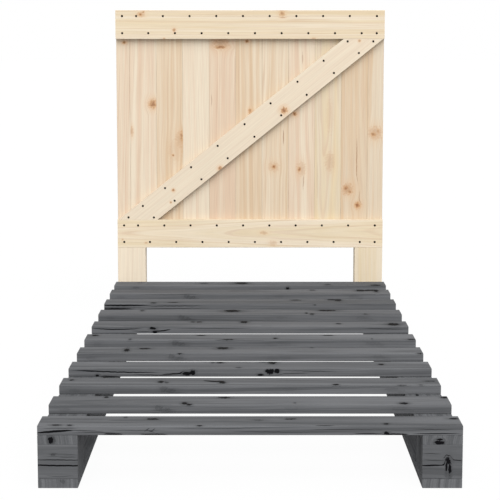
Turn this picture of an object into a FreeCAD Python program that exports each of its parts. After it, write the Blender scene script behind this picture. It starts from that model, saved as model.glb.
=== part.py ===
import FreeCAD, Part
import Sketcher
import os
from FreeCAD import Placement, Rotation, Vector

# Bed frame for a 900 by 1900 mm mattress. Two open beams of runner, blocks and stringer carry eleven
# slats, and a boarded headboard with two rails and a diagonal brace stands against the beams' rear ends.
# The origin is on the floor, under the centre of the whole frame. +X is the right side seen from the
# foot, +Y points to the headboard and +Z is up. All lengths are in millimetres.

DRIVING_SIZES = {
    # Bed base
    "bed_width": 900,               # over the slat ends
    "bed_length": 1900,             # over the beams, foot to headboard
    "slat_width": 85,
    "slat_thick": 20,
    "beam_width": 85,               # runner, block and stringer alike
    "stringer_thick": 20,
    "runner_thick": 20,
    "block_height": 75,
    "block_length": 116,            # along the beam
    "base_edge_round": 1.5,         # eased long edges of every board of the base
    # Headboard
    "headboard_height": 1040,       # floor to the top of the top rail
    "headboard_inset": 6,           # from the bed's side to the headboard's side
    "rail_width": 94,
    "rail_thick": 20,               # rails and brace
    "bottom_rail_level": 251,       # floor to the underside of the bottom rail
    "left_board_width": 44,         # the first and the last panel board are cut narrow
    "right_board_width": 52,
    "panel_board_thick": 20,
    "panel_edge_round": 0.8,        # eased edges, which draw the seams of the panel
    "rail_edge_round": 1.2,
    "brace_width": 82,
    "brace_inset": 4,               # from the panel's side to the brace's nearest corner
    "leg_width": 93,
    "stile_thick": 20,
    # Fasteners
    "nail_shank": 2.5,
    "nail_head": 7,
    "nail_head_height": 1.2,
    "nail_tip": 4,
    "rail_nail_inset": 19,          # from a rail's long edge to its row of nails
    "brace_nail_inset": 14.5,       # from the brace's long edge to its row of nails
    "brace_nail_end_inset": 8,      # from a rail's edge to a row's first and last nail
    "slat_screw_shank": 4,
    "slat_screw_head": 8,
    "beam_screw_shank": 6,
    "beam_screw_head": 12,
    "headboard_screw_shank": 5,
    "headboard_screw_head": 10,
    "countersink_angle": 90,        # degrees
    "screw_tip": 5,
    "screw_recess": 0.5,            # from the wood's face down to a countersunk head
    "coach_screw_shank": 8,
    "coach_head_flats": 13,         # across the flats of the hexagon
    "coach_head_height": 5.5,
    "washer_diameter": 24,
    "washer_bore": 9,
    "washer_thick": 2,
    "drill_clearance": 0.2,         # drilled diameter minus shank diameter
    "drill_end_clearance": 1,       # depth of a blind hole past the fastener's tip
}

# Slats are laid by hand: each one's move towards the headboard, as a share of the even pitch.
slat_shift_shares = (0, 0.01, 0.04, 0.05, 0.04, 0.02, 0.07, 0.1, 0.11, 0.12, 0)

# The panel's full boards, which share its width between the two narrow ones.
FULL_BOARDS = 9

# Fastener places, as shares of the piece or crossing that they sit in.
slat_screw_shares = ((0.3, 0.7), (0.7, 0.3))
beam_screw_shares = ((0.25, 0.25), (0.75, 0.75))
coach_screw_level_shares = (0.3, 0.7)
rail_screw_level_shares = (0.36, 0.64)
leg_screw_level_shares = (0.55, 0.88)
stile_screw_shares = (0.25, 0.75)

# How far a fastener bites into the last piece that it enters.
screw_bite_share = 0.775
nail_bite_share = 0.5
coach_bite_share = 0.5

# Nail places across each panel board, from its left edge. A narrow board has its rail nails in the middle.
upper_row_nail_share = 0.28
lower_row_nail_share = 0.73
narrow_board_nail_share = 0.5
brace_upper_nail_shares = (0.47, 0.32, 0.31, 0.32, 0.34, 0.32, 0.33, 0.31)
brace_lower_nail_shares = (0.68, 0.7, 0.7, 0.71, 0.72, 0.68, 0.7, 0.63)

# Form of the nail head and of the cross recess in a screw head, as shares of the head.
nail_crown_share = 0.5
nail_rim_share = 0.5
recess_span_share = 0.5
recess_arm_share = 0.16
recess_depth_share = 0.18

# Angle in radians within which an edge runs along a direction.
SAME_WAY = 0.01

doc = FreeCAD.newDocument("bed_frame")
sheet = doc.addObject("Spreadsheet::Sheet", "sizes")
for row, (alias, value) in enumerate(DRIVING_SIZES.items(), start=1):
    sheet.set(f"A{row}", alias)
    sheet.set(f"B{row}", str(value))
    sheet.setAlias(f"B{row}", alias)
doc.recompute()

sub_parts = []


def value_of(expression):
    """The number that an expression of the sheet's names gives."""
    result = sheet.evalExpression(expression)
    return getattr(result, "Value", result)


def place_at(piece, corner, rotation=Rotation()):
    """Sets a piece in the frame, turned, with its own origin at the corner."""
    piece.Placement = Placement(Vector(), rotation)
    for axis, expression in zip("xyz", corner):
        piece.setExpression(f".Placement.Base.{axis}", expression)


def new_sketch(body, plane):
    """An empty sketch on one of the body's own origin planes."""
    sketch = body.newObject("Sketcher::SketchObject", f"{body.Name}_sketch")
    support = [origin for origin in body.Origin.OriginFeatures if origin.Role == plane]
    sketch.AttachmentSupport = [(support[0], "")]
    sketch.MapMode = "FlatFace"
    return sketch


def tie_point(sketch, geometry, position, point):
    """Holds a point of a sketch at two expressions, or on an axis where one of them is zero."""
    for kind, axis, expression in zip(("DistanceX", "DistanceY"), (-2, -1), point):
        if expression == "0":
            sketch.addConstraint(Sketcher.Constraint("PointOnObject", geometry, position, axis))
            continue
        distance = Sketcher.Constraint(kind, -1, 1, geometry, position, value_of(expression))
        number = sketch.addConstraint(distance)
        sketch.setExpression(f"Constraints[{number}]", expression)


def outline(body, plane, points):
    """A closed outline of straight lines through points given as expressions."""
    sketch = new_sketch(body, plane)
    corners = [Vector(value_of(across), value_of(up), 0) for across, up in points]
    for corner, following in zip(corners, corners[1:] + corners[:1]):
        sketch.addGeometry(Part.LineSegment(corner, following), False)
    for number, point in enumerate(points):
        following = (number + 1) % len(points)
        sketch.addConstraint(Sketcher.Constraint("Coincident", number, 2, following, 1))
        tie_point(sketch, number, 1, point)
    return sketch


def cut_to_outline(name, plane, points, thickness, backwards=False):
    """A body with a straight-sided outline and one thickness."""
    body = doc.addObject("PartDesign::Body", name)
    pad = body.newObject("PartDesign::Pad", f"{name}_pad")
    pad.Profile = outline(body, plane, points)
    pad.Reversed = backwards
    pad.setExpression("Length", thickness)
    body.Tip = pad
    doc.recompute()
    return body


def ease_edges(body, direction, rounding):
    """Rounds the edges of a body that run along a direction."""
    base = body.Tip
    names = []
    for number, edge in enumerate(base.Shape.Edges, start=1):
        if edge.Curve.Direction.isParallel(direction, SAME_WAY):
            names.append(f"Edge{number}")
    fillet = body.newObject("PartDesign::Fillet", f"{body.Name}_eased")
    fillet.Base = (base, names)
    fillet.setExpression("Radius", rounding)
    body.Tip = fillet
    doc.recompute()


def board(name, corner, size, grain, rounding):
    """A sub-part sawn square, with its four edges along the grain eased."""
    across, along, up = size
    points = [("0", "0"), (across, "0"), (across, along), ("0", along)]
    body = cut_to_outline(name, "XY_Plane", points, up)
    ease_edges(body, grain, rounding)
    place_at(body, corner)
    sub_parts.append(body)
    return body


def drill(body, corner, plane, spots, diameter, start=None, depth=None, backwards=False, head=None):
    """Holes in a body at spots of the whole frame, countersunk where a head is given.

    The holes start on the body's origin plane or, where start is given, that far off it.
    """
    axes = (0, 1) if plane == "XY_Plane" else (0, 2)
    sketch = new_sketch(body, plane)
    if start:
        sketch.setExpression(".AttachmentOffset.Base.z", start)
    radius = f"({diameter}) / 2"
    for number, spot in enumerate(spots):
        point = [f"({spot[axis]}) - ({corner[axis]})" for axis in axes]
        centre = Vector(value_of(point[0]), value_of(point[1]), 0)
        sketch.addGeometry(Part.Circle(centre, Vector(0, 0, 1), value_of(radius)), False)
        tie_point(sketch, number, 3, point)
        if number:
            sketch.addConstraint(Sketcher.Constraint("Equal", 0, number))
    constraint = sketch.addConstraint(Sketcher.Constraint("Radius", 0, value_of(radius)))
    sketch.setExpression(f"Constraints[{constraint}]", radius)
    doc.recompute()
    hole = body.newObject("PartDesign::Hole", f"{body.Name}_holes")
    hole.Profile = sketch
    hole.Reversed = backwards
    hole.ThreadType = "None"
    hole.DrillPoint = "Flat"
    hole.setExpression("Diameter", diameter)
    hole.DepthType = "ThroughAll"
    if depth:
        hole.DepthType = "Dimension"
        hole.setExpression("Depth", depth)
    if head:
        hole.HoleCutType = "Countersink"
        hole.HoleCutCustomValues = True
        hole.setExpression("HoleCutDiameter", head)
        hole.setExpression("HoleCutCountersinkAngle", "sizes.countersink_angle")
    body.Tip = hole
    doc.recompute()


def turned(name, points):
    """A round body, its outline of (radius, height) points turned about its own Z axis."""
    body = doc.addObject("PartDesign::Body", name)
    sketch = outline(body, "XZ_Plane", points)
    turn = body.newObject("PartDesign::Revolution", f"{name}_turn")
    turn.Profile = sketch
    turn.ReferenceAxis = (sketch, ["V_Axis"])
    body.Tip = turn
    doc.recompute()
    return body


def cross_recess(body, head):
    """Sinks a cross recess into the top of a screw head."""
    span = f"{head} * {recess_span_share / 2}"
    arm = f"{head} * {recess_arm_share / 2}"
    quarter = [(arm, span), (arm, arm), (span, arm)]
    upper = quarter + [(across, f"-({up})") for across, up in reversed(quarter)]
    lower = [(f"-({across})", up) for across, up in reversed(upper)]
    pocket = body.newObject("PartDesign::Pocket", f"{body.Name}_recess")
    pocket.Profile = outline(body, "XY_Plane", upper + lower)
    pocket.Reversed = True
    pocket.setExpression("Length", f"{head} * {recess_depth_share}")
    body.Tip = pocket
    doc.recompute()


def countersunk_screw(name, shank, head, length):
    """One wood screw that points along +Z, the flat of its head at its origin."""
    cone = f"({head} - {shank}) / 2 / tan(sizes.countersink_angle / 2)"
    shoulder = f"{length} - sizes.screw_tip"
    screw = turned(name, [
        ("0", "0"),
        (f"{head} / 2", "0"),
        (f"{shank} / 2", cone),
        (f"{shank} / 2", shoulder),
        ("0", length),
    ])
    cross_recess(screw, head)
    return screw


def countersink_for(head):
    """Width at the wood's face of the cone that takes a head sunk below it."""
    return f"{head} + sizes.drill_clearance + 2 * sizes.screw_recess * tan(sizes.countersink_angle / 2)"


def bore_for(shank):
    """Drilled diameter for a shank."""
    return f"{shank} + sizes.drill_clearance"


def group_of(name, original, places, rotation):
    """A sub-part of equal fasteners, separate solids, each at its own place."""
    links = []
    for number, place in enumerate(places, start=1):
        link = doc.addObject("App::Link", f"{name}_{number}")
        link.LinkedObject = original
        place_at(link, place, rotation)
        links.append(link)
    group = doc.addObject("Part::Compound", name)
    group.Links = links
    sub_parts.append(group)


# Directions of a grain, and turns that point a fastener's own +Z another way.
ACROSS = Vector(1, 0, 0)
ALONG = Vector(0, 1, 0)
UP = Vector(0, 0, 1)
POINTS_UP = Rotation()
POINTS_TO_REAR = Rotation(ACROSS, -90)
POINTS_TO_FRONT = Rotation(ACROSS, 90)

# Levels of the base above the floor.
block_level = "sizes.runner_thick"
stringer_level = "(sizes.runner_thick + sizes.block_height)"
slat_level = f"({stringer_level} + sizes.stringer_thick)"

# Planes across the bed: the foot end, the beams' rear ends and the headboard's layers behind them.
headboard_thick = "(sizes.rail_thick + sizes.panel_board_thick + sizes.stile_thick)"
overall_length = f"(sizes.bed_length + {headboard_thick} + sizes.washer_thick + sizes.coach_head_height)"
foot_plane = f"(-{overall_length} / 2)"
rail_plane = f"({foot_plane} + sizes.bed_length)"
panel_plane = f"({rail_plane} + sizes.rail_thick)"
stile_plane = f"({panel_plane} + sizes.panel_board_thick)"
back_plane = f"({stile_plane} + sizes.stile_thick)"

# Sides of the bed and of the headboard.
bed_left = "(-sizes.bed_width / 2)"
beam_left = {"left": bed_left, "right": "(sizes.bed_width / 2 - sizes.beam_width)"}
panel_left = f"({bed_left} + sizes.headboard_inset)"
panel_width = "(sizes.bed_width - 2 * sizes.headboard_inset)"
leg_left = {"left": panel_left, "right": f"({panel_left} + {panel_width} - sizes.leg_width)"}

# Slats, stringers, blocks and runners.
slat_pitch = f"((sizes.bed_length - sizes.slat_width) / {len(slat_shift_shares) - 1})"
slat_fronts = [
    f"({foot_plane} + {number + shift} * {slat_pitch})" for number, shift in enumerate(slat_shift_shares)]
block_fronts = {
    "front": foot_plane,
    "middle": f"({foot_plane} + (sizes.bed_length - sizes.block_length) / 2)",
    "rear": f"({rail_plane} - sizes.block_length)",
}


def crossing_spots(lefts, fronts, shares, across, along):
    """Fastener spots where beams pass under or over pieces that lie at the fronts."""
    return [
        (f"({left} + {share_across} * {across})", f"({front} + {share_along} * {along})")
        for left in lefts
        for front in fronts
        for share_across, share_along in shares]


def slat_screw_spots(lefts, fronts):
    return crossing_spots(lefts, fronts, slat_screw_shares, "sizes.beam_width", "sizes.slat_width")


def beam_screw_spots(lefts, fronts):
    return crossing_spots(lefts, fronts, beam_screw_shares, "sizes.beam_width", "sizes.block_length")


def coach_screw_spots(side):
    """Where the coach screws of one leg enter its rear block, level by level."""
    across = f"({beam_left[side]} + sizes.beam_width / 2)"
    return [
        (across, back_plane, f"({block_level} + {share} * sizes.block_height)")
        for share in coach_screw_level_shares]


def slats():
    """Eleven boards across the bed, each held by two screws from below at either beam."""
    size = ("sizes.bed_width", "sizes.slat_width", "sizes.slat_thick")
    bore = bore_for("sizes.slat_screw_shank")
    bite = f"{screw_bite_share} * sizes.slat_thick + sizes.drill_end_clearance"
    for number, front in enumerate(slat_fronts, start=1):
        corner = (bed_left, front, slat_level)
        slat = board(f"slat_{number:02d}", corner, size, ACROSS, "sizes.base_edge_round")
        spots = slat_screw_spots(beam_left.values(), [front])
        drill(slat, corner, "XY_Plane", spots, bore, depth=bite, backwards=True)


def beam(side):
    """One side beam: a runner on the floor, three blocks and a stringer under the slats."""
    left = beam_left[side]
    round_edge = "sizes.base_edge_round"
    beam_spots = beam_screw_spots([left], block_fronts.values())

    corner = (left, foot_plane, "0")
    size = ("sizes.beam_width", "sizes.bed_length", "sizes.runner_thick")
    runner = board(f"{side}_runner", corner, size, ALONG, round_edge)
    drill(runner, corner, "XY_Plane", beam_spots, bore_for("sizes.beam_screw_shank"), backwards=True,
          head=countersink_for("sizes.beam_screw_head"))

    for place, front in block_fronts.items():
        corner = (left, front, block_level)
        size = ("sizes.beam_width", "sizes.block_length", "sizes.block_height")
        block = board(f"{side}_{place}_block", corner, size, ACROSS, round_edge)
        spots = beam_screw_spots([left], [front])
        drill(block, corner, "XY_Plane", spots, bore_for("sizes.beam_screw_shank"), backwards=True)
        if place == "rear":
            drill(block, corner, "XZ_Plane", coach_screw_spots(side), bore_for("sizes.coach_screw_shank"),
                  start="-sizes.block_length", backwards=True,
                  depth=f"{coach_bite_share} * sizes.block_length + sizes.drill_end_clearance")

    corner = (left, foot_plane, stringer_level)
    size = ("sizes.beam_width", "sizes.bed_length", "sizes.stringer_thick")
    stringer = board(f"{side}_stringer", corner, size, ALONG, round_edge)
    drill(stringer, corner, "XY_Plane", slat_screw_spots([left], slat_fronts),
          bore_for("sizes.slat_screw_shank"), backwards=True, head=countersink_for("sizes.slat_screw_head"))
    drill(stringer, corner, "XY_Plane", beam_spots, bore_for("sizes.beam_screw_shank"), backwards=True,
          depth=f"{screw_bite_share} * sizes.stringer_thick + sizes.drill_end_clearance")


def base_screws():
    """Screws from below: stringer to slats, and runner through block to stringer."""
    length = f"(sizes.stringer_thick - sizes.screw_recess + {screw_bite_share} * sizes.slat_thick)"
    screw = countersunk_screw("slat_screw", "sizes.slat_screw_shank", "sizes.slat_screw_head", length)
    level = f"{stringer_level} + sizes.screw_recess"
    spots = slat_screw_spots(beam_left.values(), slat_fronts)
    group_of("slat_screws", screw, [(across, along, level) for across, along in spots], POINTS_UP)

    length = (f"(sizes.runner_thick - sizes.screw_recess + sizes.block_height"
              f" + {screw_bite_share} * sizes.stringer_thick)")
    screw = countersunk_screw("beam_screw", "sizes.beam_screw_shank", "sizes.beam_screw_head", length)
    spots = beam_screw_spots(beam_left.values(), block_fronts.values())
    group_of("beam_screws", screw, [(across, along, "sizes.screw_recess") for across, along in spots],
             POINTS_UP)


# Upright boards of the panel, from left to right: left edge and width.
full_board_width = f"(({panel_width} - sizes.left_board_width - sizes.right_board_width) / {FULL_BOARDS})"
board_lefts = [panel_left] + [
    f"({panel_left} + sizes.left_board_width + {number} * {full_board_width})"
    for number in range(FULL_BOARDS + 1)]
board_widths = ["sizes.left_board_width"] + [full_board_width] * FULL_BOARDS + ["sizes.right_board_width"]
SECOND_BOARD = 1
LAST_BOARD = len(board_lefts) - 1

# Rails, and the brace between them: its angle follows from its width and the room that it fills.
rail_levels = {"bottom": "sizes.bottom_rail_level", "top": "(sizes.headboard_height - sizes.rail_width)"}
brace_level = "(sizes.bottom_rail_level + sizes.rail_width)"
brace_rise = f"({rail_levels['top']} - {brace_level})"
brace_run = f"({panel_width} - 2 * sizes.brace_inset)"
brace_angle = (f"(atan({brace_rise} / {brace_run})"
               f" + asin(sizes.brace_width / sqrt({brace_run}^2 + {brace_rise}^2)))")
brace_cut = f"(sizes.brace_width / sin({brace_angle}))"


def across_board(number, share):
    """A place across one panel board, from its left edge."""
    return f"({board_lefts[number]} + {share} * {board_widths[number]})"


def rail_nails(rail):
    """Nails of one rail as (board, across, level): two rows, one nail a row in each board."""
    lower_row = f"({rail_levels[rail]} + sizes.rail_nail_inset)"
    upper_row = f"({rail_levels[rail]} + sizes.rail_width - sizes.rail_nail_inset)"
    nails = []
    for number in range(LAST_BOARD + 1):
        narrow = number in (0, LAST_BOARD)
        for share, level in ((lower_row_nail_share, lower_row), (upper_row_nail_share, upper_row)):
            across = across_board(number, narrow_board_nail_share if narrow else share)
            nails.append((number, across, level))
    return nails


def brace_nails(foot, first_board, shares):
    """One row of the brace's nails as (board, across, level), rising from its foot on the bottom rail.

    The row's first and last nail follow the rails, so they name no board: any board may lie under them.
    """
    nails = []
    for height in ("sizes.brace_nail_end_inset", f"({brace_rise} - sizes.brace_nail_end_inset)"):
        nails.append((None, f"({foot} + {height} / tan({brace_angle}))", f"({brace_level} + {height})"))
    for number, share in enumerate(shares, start=first_board):
        across = across_board(number, share)
        nails.append((number, across, f"({brace_level} + ({across} - {foot}) * tan({brace_angle}))"))
    return nails


brace_corner = f"({panel_left} + sizes.brace_inset)"
row_offset = f"sizes.brace_nail_inset / sin({brace_angle})"
upper_row_foot = f"({brace_corner} + {row_offset})"
lower_row_foot = f"({brace_corner} + {brace_cut} - {row_offset})"
nails_of = {
    "bottom_rail": rail_nails("bottom"),
    "top_rail": rail_nails("top"),
    "brace": (brace_nails(upper_row_foot, SECOND_BOARD, brace_upper_nail_shares)
              + brace_nails(lower_row_foot, SECOND_BOARD + 1, brace_lower_nail_shares)),
}


def nail_spots(nails):
    return [(across, rail_plane, level) for number, across, level in nails]


# Screws from behind, through the stiles into both rails and into the leg fronts.
boards_at_stile = {"left": (0, SECOND_BOARD), "right": (LAST_BOARD - 1, LAST_BOARD)}
rail_screw_levels = {
    rail: [f"({level} + {share} * sizes.rail_width)" for share in rail_screw_level_shares]
    for rail, level in rail_levels.items()}
both_rails_levels = rail_screw_levels["bottom"] + rail_screw_levels["top"]
leg_screw_levels = [f"{share} * sizes.bottom_rail_level" for share in leg_screw_level_shares]
stile_screw_levels = both_rails_levels + leg_screw_levels


def stile_screw_spots(side, levels):
    """Screws of one stile at these levels, side by side across its width."""
    return [
        (f"({leg_left[side]} + {share} * sizes.leg_width)", back_plane, level)
        for share in stile_screw_shares
        for level in levels]


def panel_boards():
    """Upright boards behind the rails, each with its nail holes and those of the stile screws."""
    size_above = ("sizes.panel_board_thick", f"(sizes.headboard_height - {rail_levels['bottom']})")
    bite = f"{nail_bite_share} * sizes.panel_board_thick + sizes.drill_end_clearance"
    all_nails = sum(nails_of.values(), [])
    for number, (left, width) in enumerate(zip(board_lefts, board_widths)):
        corner = (left, panel_plane, rail_levels["bottom"])
        piece = board(f"panel_board_{number + 1:02d}", corner, (width, *size_above), UP,
                      "sizes.panel_edge_round")
        spots = nail_spots([nail for nail in all_nails if nail[0] in (number, None)])
        drill(piece, corner, "XZ_Plane", spots, bore_for("sizes.nail_shank"), depth=bite)
        for side, boards in boards_at_stile.items():
            if number in boards:
                drill(piece, corner, "XZ_Plane", stile_screw_spots(side, both_rails_levels),
                      bore_for("sizes.headboard_screw_shank"))


def rails():
    """Two boards across the front of the panel, with two rows of nails each."""
    size = (panel_width, "sizes.rail_thick", "sizes.rail_width")
    for rail, level in rail_levels.items():
        corner = (panel_left, rail_plane, level)
        piece = board(f"{rail}_rail", corner, size, ACROSS, "sizes.rail_edge_round")
        drill(piece, corner, "XZ_Plane", nail_spots(nails_of[f"{rail}_rail"]), bore_for("sizes.nail_shank"))
        spots = sum((stile_screw_spots(side, rail_screw_levels[rail]) for side in leg_left), [])
        drill(piece, corner, "XZ_Plane", spots, bore_for("sizes.headboard_screw_shank"),
              start="-sizes.rail_thick", backwards=True,
              depth=f"{screw_bite_share} * sizes.rail_thick + sizes.drill_end_clearance")


def diagonal_brace():
    """A board from the lower left to the upper right, cut level at both rails."""
    points = [
        ("sizes.brace_inset", "0"),
        (f"sizes.brace_inset + {brace_cut}", "0"),
        (f"{panel_width} - sizes.brace_inset", brace_rise),
        (f"{panel_width} - sizes.brace_inset - {brace_cut}", brace_rise),
    ]
    corner = (panel_left, rail_plane, brace_level)
    brace = cut_to_outline("diagonal_brace", "XZ_Plane", points, "sizes.rail_thick", backwards=True)
    slope = Rotation(Vector(0, -1, 0), value_of(brace_angle)).multVec(ACROSS)
    ease_edges(brace, slope, "sizes.rail_edge_round")
    place_at(brace, corner)
    drill(brace, corner, "XZ_Plane", nail_spots(nails_of["brace"]), bore_for("sizes.nail_shank"))
    sub_parts.append(brace)


def leg(side):
    """One leg: a front piece below the panel, and a stile behind both at full height."""
    left = leg_left[side]
    coach_bore = bore_for("sizes.coach_screw_shank")
    screw_bore = bore_for("sizes.headboard_screw_shank")
    front_thick = "(sizes.rail_thick + sizes.panel_board_thick)"

    corner = (left, rail_plane, "0")
    size = ("sizes.leg_width", front_thick, rail_levels["bottom"])
    front = board(f"{side}_leg_front", corner, size, UP, "sizes.rail_edge_round")
    drill(front, corner, "XZ_Plane", coach_screw_spots(side), coach_bore)
    drill(front, corner, "XZ_Plane", stile_screw_spots(side, leg_screw_levels), screw_bore,
          start=f"-{front_thick}", backwards=True,
          depth=(f"sizes.panel_board_thick + {screw_bite_share} * sizes.rail_thick"
                 " + sizes.drill_end_clearance"))

    corner = (left, stile_plane, "0")
    size = ("sizes.leg_width", "sizes.stile_thick", "sizes.headboard_height")
    stile = board(f"{side}_rear_stile", corner, size, UP, "sizes.rail_edge_round")
    drill(stile, corner, "XZ_Plane", coach_screw_spots(side), coach_bore)
    drill(stile, corner, "XZ_Plane", stile_screw_spots(side, stile_screw_levels), screw_bore,
          start="-sizes.stile_thick", backwards=True, head=countersink_for("sizes.headboard_screw_head"))


def nails():
    """Round-headed nails through the rails and the brace into the panel boards."""
    under_head = f"(sizes.nail_head_height + sizes.rail_thick + {nail_bite_share} * sizes.panel_board_thick)"
    nail = turned("nail", [
        ("0", "0"),
        (f"{nail_crown_share} * sizes.nail_head / 2", "0"),
        ("sizes.nail_head / 2", f"{nail_rim_share} * sizes.nail_head_height"),
        ("sizes.nail_head / 2", "sizes.nail_head_height"),
        ("sizes.nail_shank / 2", "sizes.nail_head_height"),
        ("sizes.nail_shank / 2", f"{under_head} - sizes.nail_tip"),
        ("0", under_head),
    ])
    for piece, places in nails_of.items():
        heads = [
            (across, f"{plane} - sizes.nail_head_height", level)
            for across, plane, level in nail_spots(places)]
        group_of(f"{piece}_nails", nail, heads, POINTS_TO_REAR)


def headboard_screws():
    """Countersunk screws from behind that hold rails, panel and leg fronts to the stiles."""
    length = (f"(sizes.stile_thick - sizes.screw_recess + sizes.panel_board_thick"
              f" + {screw_bite_share} * sizes.rail_thick)")
    screw = countersunk_screw(
        "headboard_screw", "sizes.headboard_screw_shank", "sizes.headboard_screw_head", length)
    places = [
        (across, f"{plane} - sizes.screw_recess", level)
        for side in leg_left
        for across, plane, level in stile_screw_spots(side, stile_screw_levels)]
    group_of("headboard_screws", screw, places, POINTS_TO_FRONT)


def coach_screws():
    """Hexagon-headed screws with washers, from behind through each leg into the rear block."""
    length = (f"(sizes.coach_head_height + sizes.washer_thick + {headboard_thick}"
              f" + {coach_bite_share} * sizes.block_length)")
    screw = turned("coach_screw", [
        ("0", "0"),
        ("sizes.coach_screw_shank / 2", "0"),
        ("sizes.coach_screw_shank / 2", f"{length} - sizes.screw_tip"),
        ("0", length),
    ])
    head = screw.newObject("PartDesign::AdditivePrism", "coach_screw_head")
    head.Polygon = 6
    head.setExpression("Circumradius", "sizes.coach_head_flats / 2 / cos(30)")
    head.setExpression("Height", "sizes.coach_head_height")
    screw.Tip = head

    washer = turned("coach_washer", [
        ("sizes.washer_bore / 2", "0"),
        ("sizes.washer_diameter / 2", "0"),
        ("sizes.washer_diameter / 2", "sizes.washer_thick"),
        ("sizes.washer_bore / 2", "sizes.washer_thick"),
    ])
    spots = coach_screw_spots("left") + coach_screw_spots("right")
    washer_face = "sizes.washer_thick"
    head_face = "sizes.washer_thick + sizes.coach_head_height"
    for name, original, face in (("coach_washers", washer, washer_face), ("coach_screws", screw, head_face)):
        places = [(across, f"{plane} + {face}", level) for across, plane, level in spots]
        group_of(name, original, places, POINTS_TO_FRONT)


slats()
beam("left")
beam("right")
base_screws()
panel_boards()
rails()
diagonal_brace()
leg("left")
leg("right")
nails()
headboard_screws()
coach_screws()
doc.recompute()

for item in doc.Objects:
    if "Invalid" in item.State or "Error" in item.State:
        raise RuntimeError(f"{item.Label} did not build: {item.State}")
for piece in sub_parts:
    if piece.Shape.isNull() or not piece.Shape.isValid():
        raise RuntimeError(f"{piece.Label} has no valid shape")

os.makedirs("parts", exist_ok=True)
for piece in sub_parts:
    piece.Shape.exportStep(f"parts/{piece.Label}.step")
print(len(sub_parts), "sub-parts written")
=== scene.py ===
import math

import bpy
from mathutils import Matrix, Vector


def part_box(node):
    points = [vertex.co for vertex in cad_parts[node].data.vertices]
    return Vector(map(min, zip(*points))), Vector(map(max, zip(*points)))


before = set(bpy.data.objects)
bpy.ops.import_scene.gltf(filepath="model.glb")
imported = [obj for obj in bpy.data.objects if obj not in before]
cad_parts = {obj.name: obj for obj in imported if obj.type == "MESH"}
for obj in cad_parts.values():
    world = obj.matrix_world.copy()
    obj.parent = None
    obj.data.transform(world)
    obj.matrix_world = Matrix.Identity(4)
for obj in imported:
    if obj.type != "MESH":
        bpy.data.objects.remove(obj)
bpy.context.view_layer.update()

# Runners: two planed pine boards, stained grey, that lie on the floor along both sides of the bed.
# They are ripped from flat-sawn stock, so their ends at the foot show the rings on edge.
# Long screws sunk from below hold them to the blocks.

MM = 0.001
ACROSS = Vector((1, 0, 0))
ALONG = Vector((0, 1, 0))
UP = Vector((0, 0, 1))
FRONT = Vector((0, -1, 0))


def fill(tree, made, sockets):
    """Gives a node's inputs their values or links."""
    for key, value in sockets.items():
        if isinstance(value, bpy.types.NodeSocket):
            tree.links.new(value, made.inputs[key])
        else:
            made.inputs[key].default_value = value


def add(tree, kind, sockets=None, **settings):
    """Adds a node, makes its settings and fills its inputs."""
    made = tree.nodes.new(f"ShaderNode{kind}")
    for name, value in settings.items():
        setattr(made, name, value)
    fill(tree, made, sockets or {})
    return made


def calc(tree, operation, *values):
    return add(tree, "Math", dict(enumerate(values)), operation=operation).outputs[0]


def calc_vector(tree, operation, *values):
    made = add(tree, "VectorMath", dict(enumerate(values)), operation=operation)
    return made.outputs["Value" if operation == "LENGTH" else "Vector"]


def stretch(tree, vector, factor):
    return add(tree, "VectorMath", {0: vector, "Scale": factor}, operation="SCALE").outputs[0]


def join(tree, x, y=0.0, z=0.0):
    return add(tree, "CombineXYZ", {"X": x, "Y": y, "Z": z}).outputs[0]


def split(tree, vector):
    return add(tree, "SeparateXYZ", {0: vector}).outputs


def fade(tree, value, start, end):
    """0 before start and 1 past end with a soft rise between, or a fall where end comes first."""
    sockets = {"Value": value, "From Min": start, "From Max": end}
    return add(tree, "MapRange", sockets, interpolation_type="SMOOTHSTEP").outputs["Result"]


def blend(tree, share, first, second, blend_type="MIX"):
    made = add(tree, "Mix", {0: share, 6: first, 7: second}, data_type="RGBA", blend_type=blend_type)
    return made.outputs[2]


def noise(tree, vector, seed, detail=2.0, roughness=0.5):
    """Soft noise with features about one unit wide."""
    sockets = {"Vector": vector, "W": seed, "Scale": 1.0, "Detail": detail, "Roughness": roughness}
    return add(tree, "TexNoise", sockets, noise_dimensions="4D")


def start_group(name, inputs, outputs):
    """A new shader group, and its inputs and outputs by name."""
    group = bpy.data.node_groups.new(name, "ShaderNodeTree")
    for socket, kind, value in inputs:
        made = group.interface.new_socket(socket, in_out="INPUT", socket_type=f"NodeSocket{kind}")
        made.default_value = value
    for socket, kind in outputs:
        group.interface.new_socket(socket, in_out="OUTPUT", socket_type=f"NodeSocket{kind}")
    given = group.nodes.new("NodeGroupInput").outputs
    result = group.nodes.new("NodeGroupOutput").inputs
    return group, given, result


# Rates say how often a pattern changes per metre. The bend and the fibres have one for each of the
# board's axes. Rings, stripes and lines have one for the ring radius, and the last two also drift along
# the grain. A slice is a fixed place on a further axis of the noise, which keeps the patterns apart.
BEND_RATE = (1.3, 8.0, 8.0)
FIBRE_RATE = (9.0, 420.0, 420.0)
RING_SPACING_RATE = 60.0
RING_WEIGHT_RATE, RING_WEIGHT_SLICE = 150.0, 3.0
STRIPE_RATE, STRIPE_DRIFT, STRIPE_SLICE = 90.0, 0.8, 7.0
LINE_RATE, LINE_DRIFT, LINE_SLICE = 330.0, 3.5, 2.0
# By how many ring widths uneven years move a ring at most.
RING_UNEVENNESS = 4.0
NOISE_MIDDLE = (0.5, 0.5, 0.5)
CROSS_GRAIN = (0, 1, 1)


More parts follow.
